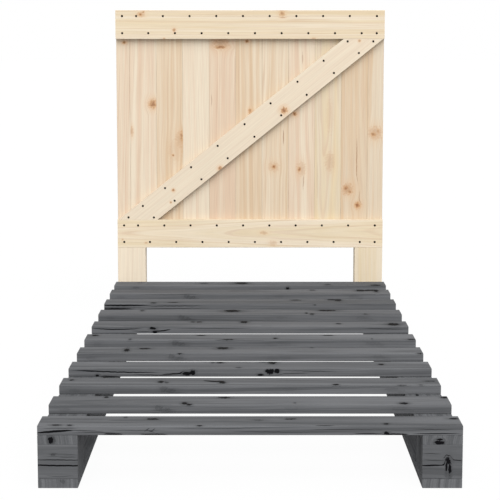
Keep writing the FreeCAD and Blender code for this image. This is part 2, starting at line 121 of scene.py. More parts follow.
def pine_growth_group():
    """Year rings about a pith beside the board, colour stripes that follow them, and fine fibres."""
    group, given, result = start_group(
        "pine growth",
        [("Place", "Vector", (0, 0, 0)), ("Pith", "Vector", (0, 0, -0.08)), ("Ring Width", "Float", 0.003),
         ("Waver", "Float", 0.006), ("Taper", "Float", 0.012), ("Seed", "Float", 0.0)],
        [("Rings", "Float"), ("Stripes", "Float"), ("Lines", "Float"), ("Fibres", "Float")])
    place, seed = given["Place"], given["Seed"]
    slow = calc_vector(group, "MULTIPLY", place, BEND_RATE)
    bend = noise(group, slow, seed, 3.0, 0.62).outputs["Color"]
    bend = calc_vector(group, "SUBTRACT", bend, NOISE_MIDDLE)
    bend = stretch(group, bend, given["Waver"])
    bent = calc_vector(group, "ADD", place, stretch(group, bend, 2.0))
    spoke = calc_vector(group, "MULTIPLY", calc_vector(group, "SUBTRACT", bent, given["Pith"]), CROSS_GRAIN)
    along = split(group, place)["X"]
    taper = calc(group, "MULTIPLY", along, given["Taper"])
    radius = calc(group, "SUBTRACT", calc_vector(group, "LENGTH", spoke), taper)

    uneven = join(group, calc(group, "MULTIPLY", radius, RING_SPACING_RATE))
    uneven = calc(group, "MULTIPLY", noise(group, uneven, seed).outputs[0], RING_UNEVENNESS)
    phase = calc(group, "ADD", calc(group, "DIVIDE", radius, given["Ring Width"]), uneven)
    year = calc(group, "FRACT", phase)
    late = calc(group, "MULTIPLY", fade(group, year, 0.3, 0.9), fade(group, year, 1.0, 0.94))
    weight = join(group, calc(group, "MULTIPLY", radius, RING_WEIGHT_RATE), RING_WEIGHT_SLICE)
    weight = fade(group, noise(group, weight, seed, 2.0, 0.6).outputs[0], 0.42, 0.64)
    group.links.new(calc(group, "MULTIPLY", late, weight), result["Rings"])

    stripe = join(group, calc(group, "MULTIPLY", radius, STRIPE_RATE),
                  calc(group, "MULTIPLY", along, STRIPE_DRIFT), STRIPE_SLICE)
    group.links.new(noise(group, stripe, seed, 4.0, 0.65).outputs[0], result["Stripes"])
    line = join(group, calc(group, "MULTIPLY", radius, LINE_RATE),
                calc(group, "MULTIPLY", along, LINE_DRIFT), LINE_SLICE)
    line = fade(group, noise(group, line, seed).outputs[0], 0.54, 0.70)
    group.links.new(line, result["Lines"])
    fine = calc_vector(group, "MULTIPLY", place, FIBRE_RATE)
    group.links.new(noise(group, fine, seed, 3.0, 0.6).outputs[0], result["Fibres"])
    return group


# A knot's outline is ragged this often per metre, and by up to half of this share of its half size.
KNOT_RAG_RATE = 150.0
KNOT_RAG = 1.9
# How many rings of its own it has within its half size.
KNOT_RING_RATE = 2.6
# Near it, the growth is read from a place up to this share nearer to its middle, so the grain spreads
# round it.
KNOT_PULL = -0.8


def knot_group():
    """One branch grown into the board: its wood, dark core and halo, and the way of the grain round it."""
    group, given, result = start_group(
        "knot",
        [("Here", "Vector", (0, 0, 0)), ("Place", "Vector", (0, 0, 0)), ("Centre", "Vector", (0, 0, 0)),
         ("Reach", "Vector", (0.01, 0.01, 0.01)), ("Strength", "Float", 1.0),
         ("Seed", "Float", 0.0), ("Heart", "Float", 0.0), ("Core", "Float", 0.0), ("Shade", "Float", 0.0)],
        [("Place", "Vector"), ("Heart", "Float"), ("Core", "Float"), ("Shade", "Float")])
    offset = calc_vector(group, "SUBTRACT", given["Here"], given["Centre"])
    distance = calc_vector(group, "LENGTH", calc_vector(group, "DIVIDE", offset, given["Reach"]))
    rough = noise(group, stretch(group, offset, KNOT_RAG_RATE), given["Seed"]).outputs[0]
    ragged = calc(group, "MULTIPLY_ADD", calc(group, "SUBTRACT", rough, 0.5), KNOT_RAG, distance)
    rings = fade(group, calc(group, "FRACT", calc(group, "MULTIPLY", ragged, KNOT_RING_RATE)), 0.1, 0.9)
    rings = calc(group, "MULTIPLY_ADD", rings, 0.3, 0.7)
    heart = calc(group, "MULTIPLY", fade(group, ragged, 1.2, 0.75), rings)
    core = calc(group, "MULTIPLY", fade(group, ragged, 0.8, 0.25), given["Strength"])
    for name, mask in (("Heart", heart), ("Core", core), ("Shade", fade(group, distance, 2.7, 0.7))):
        mask = calc(group, "MULTIPLY", mask, given["Strength"])
        group.links.new(calc(group, "MAXIMUM", mask, given[name]), result[name])
    near = calc(group, "MULTIPLY", fade(group, distance, 3.0, 0.4), given["Strength"])
    near = calc(group, "MULTIPLY", near, KNOT_PULL)
    pulled = calc_vector(group, "MULTIPLY", stretch(group, offset, near), CROSS_GRAIN)
    group.links.new(calc_vector(group, "ADD", given["Place"], pulled), result["Place"])
    return group


# A check wavers about its line this often per metre, and by up to half of this many metres.
CHECK_SHAKE_RATE = 90.0
CHECK_SHAKE = (0, 0.0024, 0.0024)


def check_group():
    """One open check along the grain: a thin spindle that can rise and bow on its way."""
    group, given, result = start_group(
        "check",
        [("Place", "Vector", (0, 0, 0)), ("Centre", "Vector", (0, 0, 0)),
         ("Reach", "Vector", (0.05, 0.001, 0.001)), ("Rise", "Vector", (0, 0, 0)),
         ("Bow", "Vector", (0, 0, 0)), ("Strength", "Float", 1.0), ("Seed", "Float", 0.0),
         ("Check", "Float", 0.0)],
        [("Check", "Float")])
    offset = calc_vector(group, "SUBTRACT", given["Place"], given["Centre"])
    run = split(group, calc_vector(group, "DIVIDE", offset, given["Reach"]))["X"]
    line = calc_vector(group, "ADD", stretch(group, given["Rise"], run),
                       stretch(group, given["Bow"], calc(group, "MULTIPLY", run, run)))
    shake = join(group, calc(group, "MULTIPLY", split(group, given["Place"])["X"], CHECK_SHAKE_RATE))
    shake = noise(group, shake, given["Seed"]).outputs["Color"]
    shake = calc_vector(group, "SUBTRACT", shake, NOISE_MIDDLE)
    shake = calc_vector(group, "MULTIPLY", shake, CHECK_SHAKE)
    away = calc_vector(group, "ADD", calc_vector(group, "SUBTRACT", offset, line), shake)
    distance = calc_vector(group, "LENGTH", calc_vector(group, "DIVIDE", away, given["Reach"]))
    mask = calc(group, "MULTIPLY", fade(group, distance, 1.15, 0.55), given["Strength"])
    group.links.new(calc(group, "MAXIMUM", mask, given["Check"]), result["Check"])
    return group


pine_growth = pine_growth_group()
knot = knot_group()
check = check_group()


def use_group(tree, group, sockets):
    made = tree.nodes.new("ShaderNodeGroup")
    made.node_tree = group
    fill(tree, made, sockets)
    return made.outputs


def start_material(name):
    material = bpy.data.materials.new(name)
    material.use_nodes = True
    tree = material.node_tree
    return material, tree, tree.nodes["Principled BSDF"]


def dress(node, material):
    """Gives a CAD node its finish."""
    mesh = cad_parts[node].data
    mesh.materials.clear()
    mesh.materials.append(material)


def board_axes(node, grain, face):
    """A board's own axes at its centre: X along the grain, Z out of its face."""
    low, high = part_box(node)
    turn = Matrix((grain, face.cross(grain), face)).transposed()
    return Matrix.Translation((low + high) / 2) @ turn.to_4x4()


def own_reach(axes, reach):
    """Half sizes along the frame's axes as half sizes along the board's own axes, in metres."""
    sides = axes.to_3x3().col
    return Vector([math.hypot(*(part * half for part, half in zip(side, reach))) for side in sides]) * MM


def own_shift(axes, shift):
    """A shift along the frame's axes as one along the board's own axes, in metres."""
    return axes.to_3x3().transposed() @ Vector(shift) * MM


KNOT_MASKS = ("Place", "Heart", "Core", "Shade")
GROWTH_MASKS = ("Rings", "Stripes", "Lines", "Fibres")


def sawn_board(tree, axes, growth, knots, checks, seed):
    """The wood of one board: masks for its rings, stripes, fibres, knots and checks, and its relief.

    Knots are (place, half sizes, strength) and checks (place, half sizes, strength, rise, bow), in
    millimetres along the frame's axes; a knot entry can also lay a spot of painted shade. Each mark takes up
    the masks of those before it.
    """
    coordinates = add(tree, "TexCoord").outputs["Object"]
    place = add(tree, "Mapping", {"Vector": coordinates, "Location": axes.to_translation(),
                                  "Rotation": axes.to_euler()}, vector_type="TEXTURE").outputs[0]
    to_board = axes.inverted()
    height = noise(tree, calc_vector(tree, "MULTIPLY", place, FIBRE_RATE), seed, 3.0).outputs[0]
    relief = add(tree, "Bump", {"Height": height, "Distance": 0.0004, "Strength": 0.4}).outputs[0]
    wood = {"Place": place, "Relief": relief, "Heart": 0.0, "Core": 0.0, "Shade": 0.0, "Check": 0.0}
    for number, (spot, reach, strength) in enumerate(knots):
        made = use_group(tree, knot, {
            "Here": place, "Centre": to_board @ (Vector(spot) * MM), "Reach": own_reach(axes, reach),
            "Strength": strength, "Seed": seed + number, **{name: wood[name] for name in KNOT_MASKS}})
        wood.update({name: made[name] for name in KNOT_MASKS})
    for number, (spot, reach, strength, rise, bow) in enumerate(checks):
        made = use_group(tree, check, {
            "Centre": to_board @ (Vector(spot) * MM), "Reach": own_reach(axes, reach), "Strength": strength,
            "Rise": own_shift(axes, rise), "Bow": own_shift(axes, bow), "Seed": seed + number,
            "Place": wood["Place"], "Check": wood["Check"]})
        wood["Check"] = made["Check"]
    grown = use_group(tree, pine_growth, {"Place": wood["Place"], "Seed": seed, **growth})
    wood.update({name: grown[name] for name in GROWTH_MASKS})
    return wood


def deepen(tree, colour, factor):
    """The colour times a factor between 0 and 1."""
    shade = add(tree, "CombineColor", {0: factor, 1: factor, 2: factor}).outputs[0]
    return blend(tree, 1.0, colour, shade, "MULTIPLY")


GREY_PALE = (0.176, 0.180, 0.189, 1)
GREY_DEEP = (0.106, 0.109, 0.115, 1)
GREY_RING = (0.064, 0.066, 0.070, 1)
GREY_KNOT_SHADE = (0.060, 0.062, 0.065, 1)
KNOT_BLACK = (0.004, 0.004, 0.005, 1)
GREY_LINE_SHARE = 0.5
GREY_RING_SHARE = 0.55
GREY_KNOT_SHADE_SHARE = 0.6


def finish_wood(tree, shader, wood, colour, gloss, roughness, fibre_roughness):
    """Puts the colour, gloss and relief of a board into its shader."""
    rough = calc(tree, "MULTIPLY_ADD", wood["Fibres"], fibre_roughness, roughness)
    fill(tree, shader, {"Base Color": colour, "Roughness": rough, "Specular IOR Level": gloss,
                        "Normal": wood["Relief"]})


def grey_pine(node, grain, face, growth, seed, knots=(), checks=(), tone=1.0):
    """Planed pine with a matt grey stain: the rings and fibres show through, and knots take it black."""
    material, tree, shader = start_material(f"grey stained pine, {node}")
    wood = sawn_board(tree, board_axes(node, grain, face), growth, knots, checks, seed)
    colour = blend(tree, fade(tree, wood["Stripes"], 0.36, 0.66), GREY_PALE, GREY_DEEP)
    figure = calc(tree, "MAXIMUM", wood["Rings"], calc(tree, "MULTIPLY", wood["Lines"], GREY_LINE_SHARE))
    colour = blend(tree, calc(tree, "MULTIPLY", figure, GREY_RING_SHARE), colour, GREY_RING)
    colour = deepen(tree, colour, calc(tree, "MULTIPLY_ADD", wood["Fibres"], 0.5, 0.75 * tone))
    shade = calc(tree, "MULTIPLY", wood["Shade"], GREY_KNOT_SHADE_SHARE)
    colour = blend(tree, shade, colour, GREY_KNOT_SHADE)
    dark = fade(tree, calc(tree, "MAXIMUM", wood["Heart"], wood["Check"]), 0.02, 0.62)
    colour = blend(tree, dark, colour, KNOT_BLACK)
    finish_wood(tree, shader, wood, colour, gloss=0.08, roughness=0.75, fibre_roughness=0.2)
    dress(node, material)


def flat_sawn(depth, sideways=0.0, ring_width=3.2, waver=6.0, taper=0.012):
    """Growth of a board cut beside the pith: how far under its face, and how far to one side, in mm."""
    return {"Pith": (0, sideways * MM, -depth * MM), "Ring Width": ring_width * MM, "Waver": waver * MM,
            "Taper": taper}


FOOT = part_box("left_runner")[0].y / MM

grey_pine("left_runner", ALONG, UP, flat_sawn(8, 120, 5.0), seed=3,
          knots=[((-397.8, FOOT, 14.3), (6, 30, 5), 0.25)])
grey_pine("right_runner", ALONG, UP, flat_sawn(10, -110, 5.0), seed=4)

# Blocks: three off-cuts of thick pine on each runner, stained grey, with the grain across the bed.
# Two long screws through runner and block hold each of them. The front pair is checked and knotty, and shade
# is painted on the inner end of the right one.

LEFT_BLOCK_CHECKS = [
    ((-408, FOOT, 49.2), (80, 9, 1.9), 1.0, (0, 0, -1.4), (0, 0, 1.5)),
    ((-408, FOOT, 61.3), (70, 8, 1.2), 0.6, (0, 0, -0.7), (0, 0, 0)),
    ((-400, FOOT, 69.5), (50, 8, 0.9), 0.3, (0, 0, 0.5), (0, 0, 0.8)),
    ((-398, FOOT, 74.0), (38, 6, 0.9), 0.35, (0, 0, -0.5), (0, 0, -1.0)),
    ((-385, FOOT, 67.0), (24, 6, 0.9), 0.35, (0, 0, 0.6), (0, 0, 0)),
    ((-404, FOOT, 25.0), (34, 6, 0.9), 0.3, (0, 0, 0), (0, 0, 5.0)),
]
RIGHT_BLOCK_CHECKS = [
    ((385, FOOT, 49.6), (27, 9, 1.9), 1.0, (0, 0, 0.3), (0, 0, 0)),
    ((411, FOOT, 53.0), (7, 9, 1.9), 1.0, (0, 0, 4.5), (0, 0, 0)),
    ((417, FOOT, 66.0), (8, 8, 1.7), 1.0, (0, 0, -0.5), (0, 0, -2.5)),
    ((437, FOOT, 61.0), (16, 6, 1.1), 0.6, (0, 0, -0.8), (0, 0, 0)),
    ((390, FOOT, 61.0), (28, 6, 1.1), 0.4, (0, 0, -0.4), (0, 0, 0)),
    ((385, FOOT, 75.0), (24, 6, 1.0), 0.4, (0, 0, -0.5), (0, 0, 0)),
]
RIGHT_BLOCK_KNOTS_AND_SHADE = [
    ((420.0, FOOT, 59.5), (5.5, 12, 7.5), 0.8),
    ((416.0, FOOT, 46.0), (2.2, 12, 11.0), 1.0),
    ((423.5, FOOT, 42.0), (3.0, 12, 12.0), 1.0),
    # Painted shade, not a knot: a faint dark spot over the block's inner end, which lies in shadow under the
    # deck.
    ((365, FOOT + 45, 60.0), (1.5, 16, 40), 0.3),
]
BLOCK_RING_WIDTH, BLOCK_WAVER = 4.0, 8.0
grey_pine("left_front_block", ACROSS, FRONT, flat_sawn(70, -20, BLOCK_RING_WIDTH, BLOCK_WAVER), seed=11,
          knots=[((-417, FOOT, 73.0), (5, 10, 2.5), 0.35)], checks=LEFT_BLOCK_CHECKS, tone=0.80)
grey_pine("right_front_block", ACROSS, FRONT, flat_sawn(75, 25, BLOCK_RING_WIDTH, BLOCK_WAVER), seed=12,
          knots=RIGHT_BLOCK_KNOTS_AND_SHADE, checks=RIGHT_BLOCK_CHECKS, tone=0.76)
PLAIN_BLOCKS = ("left_middle_block", "right_middle_block", "left_rear_block", "right_rear_block")
for number, block in enumerate(PLAIN_BLOCKS):
    growth = flat_sawn(60, 10 * (number - 1), BLOCK_RING_WIDTH, BLOCK_WAVER)
    grey_pine(block, ACROSS, FRONT, growth, seed=13 + number)

# Stringers: the top boards of both side beams, of the same stock as the runners. The slats lie on them
# and are screwed to them from below. A knot is cut through in each of their front ends.

grey_pine("left_stringer", ALONG, UP, flat_sawn(12, 105, 4.5), seed=21, knots=[
    ((-417.5, FOOT, 104.3), (8.2, 26, 8.2), 0.22),
    ((-420.8, FOOT, 104.5), (5.6, 26, 6.8), 1.0),
], tone=0.9)
grey_pine("right_stringer", ALONG, UP, flat_sawn(15, -100, 4.5), seed=22, knots=[
    ((400.0, FOOT, 98.6), (9.8, 18, 4.4), 1.0),
    ((400.5, FOOT, 105.6), (6.5, 18, 2.2), 1.0),
    # A black spot on the top of the right stringer, where it shows between the second and third slats.
    ((393.0, -622.5, 115.0), (4.0, 8, 5), 0.8),
], tone=0.9)

# Slats: eleven flat-sawn pine boards across the beams, with eased edges and sawn ends, stained grey.
# Their knots and open checks take the stain almost black. Each list of marks is one board's own.

BLACK = 1.0
DARK = 0.75
FAINT = 0.42
# On the top face: place along x, distance back from the front edge, length and width, strength.
TOP_KNOTS = {
    1: [(-411, 8, 22, 4, BLACK), (-382, 7, 12, 4, DARK), (-269, 76, 8, 7, FAINT), (-209, 59, 24, 6, DARK),
        (-107, 4, 12, 3, DARK), (87, 59, 24, 4, DARK), (289, 18, 11, 5, BLACK), (437, 62, 22, 5, DARK),
        (17, 50, 24, 6, 0.3)],
    2: [(-328, 74, 10, 6, DARK), (-59, 70, 28, 6, DARK), (-147, 17, 13, 8, BLACK), (-136, 6, 12, 5, BLACK),
        (345, 16, 19, 7, BLACK), (100, 20, 7, 4, FAINT), (443, 72, 14, 7, BLACK)],
    3: [(-427, 61, 10, 5, BLACK), (-213, 42, 14, 10, DARK), (-199, 36, 12, 8, FAINT), (-66, 34, 15, 9, BLACK),
        (203, 13, 13, 6, BLACK), (358, 6, 22, 5, FAINT), (403, 10, 12, 4, FAINT), (428, 49, 34, 6, FAINT)],
    4: [(-94, 72, 10, 7, FAINT), (-75, 71, 18, 6, DARK), (-29, 16, 15, 5, FAINT), (33, 76, 22, 4, FAINT),
        (56, 72, 22, 12, BLACK), (329, 51, 14, 7, DARK)],
    5: [(-324, 47, 14, 14, BLACK), (-278, 66, 31, 7, DARK), (-182, 4, 13, 5, DARK), (-72, 73, 30, 12, BLACK),
        (163, 82, 10, 7, FAINT), (441, 6, 13, 4, BLACK)],
    6: [(-427, 65, 18, 8, DARK), (-327, 12, 10, 9, FAINT), (-135, 65, 24, 5, DARK), (-60, 8, 34, 5, BLACK),
        (69, 25, 12, 7, DARK), (215, 65, 28, 4, DARK), (332, 18, 6, 5, FAINT), (438, 10, 18, 5, BLACK)],
    7: [(-165, 73, 15, 9, FAINT), (-147, 71, 18, 10, FAINT), (-17, 72, 20, 13, BLACK),
        (254, 46, 15, 6, DARK), (411, 37, 29, 15, BLACK)],
    8: [(-324, 70, 14, 13, FAINT), (-54, 64, 44, 15, BLACK), (168, 28, 8, 7, DARK), (184, 13, 12, 7, BLACK),
        (230, 70, 52, 9, BLACK), (343, 11, 12, 7, FAINT)],
    9: [(-299, 18, 20, 8, DARK), (-238, 27, 34, 5, DARK), (141, 67, 38, 10, FAINT), (256, 76, 27, 10, BLACK),
        (275, 71, 22, 18, BLACK)],
    10: [(202, 72, 20, 10, FAINT), (358, 70, 26, 15, BLACK), (383, 71, 28, 10, BLACK),
         (408, 70, 14, 24, BLACK)],
    11: [(-371, 63, 20, 5, FAINT), (-154, 52, 34, 10, FAINT), (-29, 53, 43, 15, BLACK),
         (258, 22, 23, 11, FAINT), (418, 13, 33, 9, BLACK)],
}
# On the front edge: place along x, distance down from the top face, length and height, strength.
EDGE_KNOTS = {
    1: [(289, 15.5, 10, 7, BLACK)],
    4: [(-143, 9.5, 12, 11, BLACK), (-156, 12.5, 15, 9, BLACK), (-164, 12, 8, 5, BLACK),
        (-378, 17.4, 8, 5, BLACK), (42.5, 5.5, 9, 8, BLACK), (49, 7.5, 13, 12.5, BLACK),
        (55, 5.5, 9, 8, BLACK), (66.5, 5.5, 11, 10, BLACK), (26, 14.7, 13, 4.5, BLACK)],
    7: [(-276, 4.3, 15, 7, BLACK), (-270, 15, 10, 7, BLACK)],
    9: [(199, 3, 8, 3.5, FAINT)],
    11: [(-378, 6, 21, 6, 0.25), (125, 9.5, 10, 8, BLACK)],
}
# Checks: on "top" or "edge", place, distance back or down, length, width, strength, rise and bow.
SLAT_CHECKS = {
    1: [("edge", -413, 11.6, 84, 5.4, BLACK, 2.8, -0.8), ("edge", -350, 10.0, 90, 2.2, FAINT, -1.5, 0),
        ("edge", -400, 5.0, 90, 1.8, FAINT, 0.5, 0), ("edge", -330, 13.5, 110, 1.8, FAINT, -0.6, 0),
        ("edge", -289, 17.4, 44, 4.4, BLACK, 0, 0), ("edge", -204, 17.8, 62, 3.6, BLACK, 0, 0),
        ("edge", 395, 16.2, 112, 2.2, DARK, 0.3, 0), ("edge", -240, 9.6, 130, 1.5, FAINT, 0, 0.8),
        ("edge", 60, 13, 240, 1.6, FAINT, -1.5, 1.5), ("edge", 210, 7, 220, 1.5, FAINT, 1.2, -1.0),
        ("edge", -60, 5, 260, 1.4, FAINT, 0.8, 1.2), ("edge", 390, 7.5, 100, 1.6, FAINT, -1.2, 0),
        ("edge", -218, 8, 14, 3.2, 0.4, 4.5, 0), ("edge", -206, 9, 14, 3.2, 0.4, 4.5, 0),
        ("top", -248, 8, 165, 2.4, FAINT, 1.5, 0), ("top", 158, 3, 44, 5.0, BLACK, 0, 0),
        ("top", 405, 7, 86, 2.2, FAINT, 2, 0), ("edge", -211, 11, 22, 2.4, 0.4, -3.5, 0),
        ("edge", 312, 17.4, 48, 3.4, BLACK, -0.4, 0), ("edge", 250, 16, 70, 2.0, DARK, -0.6, 0),
        ("top", -350, 55, 130, 2.6, FAINT, 2, 0), ("top", -310, 30, 170, 2.6, FAINT, -2, 0),
        ("top", -140, 24, 160, 2.4, FAINT, 1, 0)],
    2: [("top", -30, 12, 270, 2.2, FAINT, 1, 0), ("top", -380, 40, 130, 2.0, FAINT, 3, 0)],
    3: [("top", -86, 46, 56, 15.0, BLACK, -8, 0), ("top", 130, 60, 160, 2.0, FAINT, 2, 0)],
    4: [("edge", -330, 8, 230, 3.4, DARK, -2.5, 2.0), ("edge", -348, 18.6, 62, 2.6, DARK, -0.5, 0),
        ("edge", -190, 12.5, 62, 3.8, DARK, 2.0, 0), ("edge", 150, 6, 180, 2.6, FAINT, -2.0, 0),
        ("edge", -240, 16.0, 120, 2.6, FAINT, -2.0, 0), ("edge", -405, 4.0, 90, 2.4, FAINT, -1.0, 0),
        ("edge", 100, 12, 120, 2.2, FAINT, 2.0, 0)],
    5: [("top", 120, 50, 240, 2.2, FAINT, 3, 0)],
    6: [("top", -230, 30, 260, 2.0, FAINT, -4, 0)],
    7: [("edge", -380, 7.5, 160, 3.4, DARK, 0, 4.0), ("edge", -249, 11.5, 50, 4.0, BLACK, 3.4, 1.0),
        ("edge", -100, 5, 260, 2.4, FAINT, -0.8, 0), ("edge", 380, 6, 130, 2.4, FAINT, -1.6, 0),
        ("edge", -300, 13, 90, 2.4, FAINT, 0, 2.0),
        ("top", 390, 34, 110, 3.0, DARK, 0, 0)],
    8: [("top", 330, 8, 110, 2.2, FAINT, 0, 0), ("top", -370, 30, 120, 2.4, FAINT, 2, 0)],
    9: [("edge", -395, 4.5, 200, 6.0, 0.6, -0.5, 0.8), ("edge", -235, 6.5, 220, 4.4, FAINT, 0.6, 0),
        ("edge", -415, 10.5, 230, 5.0, 0.3, -0.6, 0), ("edge", -425, 16, 150, 7.0, 0.62, 0.8, 0),
        ("edge", -230, 14, 240, 2.8, FAINT, 1.2, 0)],
    10: [("top", 400, 70, 96, 3.0, DARK, -2, 0), ("edge", -250, 2.5, 260, 1.6, FAINT, 0, 0)],
    11: [("top", -90, 52, 120, 3.0, FAINT, 1, 0), ("edge", -60, 16, 380, 1.6, FAINT, 0.8, 0)],
}
# Six boards show the same soft smudges in their front edges, as if they came from one log.
TWIN_EDGE_KNOTS = [(-204, 8, 18, 14, 0.24), (-188, 12, 28, 10, 0.25), (-172, 15, 18, 6, 0.18),
                   (58, 12, 32, 8, 0.12), (92, 9, 34, 9, 0.14), (334, 9, 36, 10, 0.17),
                   (354, 13, 24, 7, 0.15), (-414, 11, 24, 8, 0.16)]
TWIN_CHECKS = [("edge", -199, 9, 14, 3.4, 0.26, 4.5, 0), ("edge", -186, 11, 16, 3.4, 0.26, 4.0, 0)]
TWIN_SLATS = (2, 3, 5, 6, 8, 10)
# Each slat's pith, under its face and to one side, and its tone.
SLAT_PITHS = ((70, 8), (95, -20), (60, 25), (85, 30), (75, -12), (90, 10), (65, -28), (-80, 15), (-70, -10),
              (85, 22), (75, -6))
SLAT_TONES = (0.99, 0.98, 1.02, 1.02, 1.02, 1.03, 1.0, 0.90, 0.94, 1.0, 1.0)
SLAT_MARK_DEPTH = 3
# A top knot's half width as a share of the width listed, and how far past the front edge it may reach.
TOP_KNOT_WIDTH_SHARE = 1.2
TOP_KNOT_OVERHANG = 1
# An edge knot's half sizes as a share of the length and height listed.
EDGE_KNOT_SHARE = 0.55

for number, (pith, tone) in enumerate(zip(SLAT_PITHS, SLAT_TONES), 1):
    slat = f"slat_{number:02d}"
    low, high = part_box(slat)
    front, top = low.y / MM, high.z / MM
    knots = []
    for x, back, length, width, strength in TOP_KNOTS[number]:
        half_width = min(TOP_KNOT_WIDTH_SHARE * width, back + TOP_KNOT_OVERHANG)
        knots.append(((x, front + back, top), (length / 2, half_width, SLAT_MARK_DEPTH), strength))
    edge_knots = EDGE_KNOTS.get(number, [])
    marks = SLAT_CHECKS[number]
    if number in TWIN_SLATS:
        edge_knots = edge_knots + TWIN_EDGE_KNOTS
        marks = marks + TWIN_CHECKS
    for x, down, length, height, strength in edge_knots:
        reach = (EDGE_KNOT_SHARE * length, SLAT_MARK_DEPTH, EDGE_KNOT_SHARE * height)
        knots.append(((x, front, top - down), reach, strength))
    checks = []
    for side, x, inward, length, width, strength, rise, bow in marks:
        if side == "top":
            checks.append(((x, front + inward, top), (length / 2, width / 2, SLAT_MARK_DEPTH), strength,
                           (0, rise, 0), (0, bow, 0)))
        else:
            checks.append(((x, front, top - inward), (length / 2, SLAT_MARK_DEPTH, width / 2), strength,
                           (0, 0, rise), (0, 0, bow)))
    grey_pine(slat, ACROSS, UP, flat_sawn(*pith), seed=30 + 7 * number,
              knots=knots, checks=checks, tone=tone)

# Legs: a front piece under the panel and a full-height stile behind it on each side, of clear pine with
# an upright grain, sanded and left untreated. Coach screws hold them to the rear blocks.

PALE = (0.930, 0.810, 0.640, 1)
CREAM = (0.875, 0.760, 0.595, 1)
OAT = (0.805, 0.695, 0.540, 1)
BLUSH = (0.845, 0.710, 0.550, 1)
ROSE = (0.790, 0.600, 0.440, 1)
TAN = (0.750, 0.565, 0.380, 1)
STRAW = (0.820, 0.675, 0.450, 1)
PINE_RING = (0.640, 0.410, 0.275, 1)
PINE_KNOT_SHADE = (0.80, 0.52, 0.30, 1)
PINE_KNOT_HEART = (0.60, 0.31, 0.13, 1)
PINE_KNOT_CORE = (0.25, 0.09, 0.04, 1)
PINE_RESIN = (0.38, 0.17, 0.09, 1)
# Value of the stripes at the edge of a streak on a board with a streak share of 0, how far a share of
# 1 brings it down, and how far the edge fades to either side.
STREAK_EDGE = 0.66
STREAK_RANGE = 0.32
STREAK_SOFTNESS = 0.16
BOUNCE_LOSS = 0.3
# Painted shade along a seam: how much it darkens, and where it starts and is full, in from the board's side.
SEAM_SHADE_DEPTH = 0.1
SEAM_SHADE_START, SEAM_SHADE_END = 1.6 * MM, 0.6 * MM


def clear_pine(node, grain, face, growth, seed, ground, streak, streak_share, lines=0.34,
               knots=(), checks=(), seam_shade=False):
    """Sanded pine, left untreated: a pale ground, warmer streaks and lines along the rings, brown knots.

    Along a seam, shade is painted as a darker line in the eased edges of a board that lies against another.
    Pieces light each other weakly, as they would in front of a large soft box.
    """
    material, tree, shader = start_material(f"clear pine, {node}")
    wood = sawn_board(tree, board_axes(node, grain, face), growth, knots, checks, seed)
    edge = STREAK_EDGE - STREAK_RANGE * streak_share
    streaks = fade(tree, wood["Stripes"], edge - STREAK_SOFTNESS, edge + STREAK_SOFTNESS)
    colour = blend(tree, streaks, ground, streak)
    figure = calc(tree, "MULTIPLY", calc(tree, "MAXIMUM", wood["Rings"], wood["Lines"]), lines)
    colour = blend(tree, figure, colour, PINE_RING)
    colour = deepen(tree, colour, calc(tree, "MULTIPLY_ADD", wood["Fibres"], 0.24, 0.88))
    bounce = add(tree, "LightPath").outputs["Is Diffuse Ray"]
    colour = deepen(tree, colour, calc(tree, "MULTIPLY_ADD", bounce, -BOUNCE_LOSS, 1.0))
    # Painted shade: the board darkens towards its long sides, in the grooves between boards.
    if seam_shade:
        across = calc(tree, "ABSOLUTE", split(tree, wood["Place"])["Y"])
        low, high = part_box(node)
        half_width = (high.x - low.x) / 2
        near_seam_shade = fade(tree, across, half_width - SEAM_SHADE_START, half_width - SEAM_SHADE_END)
        colour = deepen(tree, colour, calc(tree, "MULTIPLY_ADD", near_seam_shade, -SEAM_SHADE_DEPTH, 1.0))
    for mask, share, tint in (("Shade", 0.55, PINE_KNOT_SHADE), ("Heart", 0.9, PINE_KNOT_HEART),
                              ("Core", 0.8, PINE_KNOT_CORE)):
        colour = blend(tree, calc(tree, "MULTIPLY", wood[mask], share), colour, tint)
    colour = blend(tree, wood["Check"], colour, PINE_RESIN)
    finish_wood(tree, shader, wood, colour, gloss=0.15, roughness=0.6, fibre_roughness=0.15)
    dress(node, material)


clear_pine("left_leg_front", UP, FRONT, flat_sawn(55, 75, 6.0), seed=101,
           ground=PALE, streak=BLUSH, streak_share=0.3, lines=0.1)
clear_pine("right_leg_front", UP, FRONT, flat_sawn(60, -60), seed=102,
           ground=CREAM, streak=STRAW, streak_share=0.5, lines=0.2)
clear_pine("left_rear_stile", UP, ALONG, flat_sawn(70, -15), seed=103,
           ground=CREAM, streak=TAN, streak_share=0.4,
           knots=[((-398, 976, 702), (9, 40, 12), 0.9)])
clear_pine("right_rear_stile", UP, ALONG, flat_sawn(60, 20), seed=104,
           ground=CREAM, streak=ROSE, streak_share=0.4,
           knots=[((392, 976, 430), (8, 40, 11), 0.9), ((410, 976, 845), (5, 40, 7), 0.7)])

# Panel: eleven upright boards side by side behind the rails, nine of them whole and the outer two cut
# narrow. They were picked without matching, so tone, figure and knots change from board to board.

# Ground, streaks and their share, pith under the face and to one side, ring width.
PANEL_BOARDS = [
    (CREAM, ROSE, 0.5, 40, 70, 3.0),
    (CREAM, ROSE, 0.4, 45, 60, 3.2),
    (CREAM, TAN, 0.6, 30, 55, 4.0),
    (CREAM, ROSE, 0.15, 60, -75, 3.0),
    (CREAM, ROSE, 0.7, 40, 55, 3.2),
    (CREAM, TAN, 0.65, 35, -80, 3.4),
    (CREAM, TAN, 0.5, 55, 65, 2.8),
    (CREAM, ROSE, 0.5, 65, -60, 2.8),
    (OAT, STRAW, 0.45, 40, 12, 4.2),
    (OAT, TAN, 0.65, 45, -50, 3.2),
    (OAT, TAN, 0.3, 50, 60, 3.0),
]
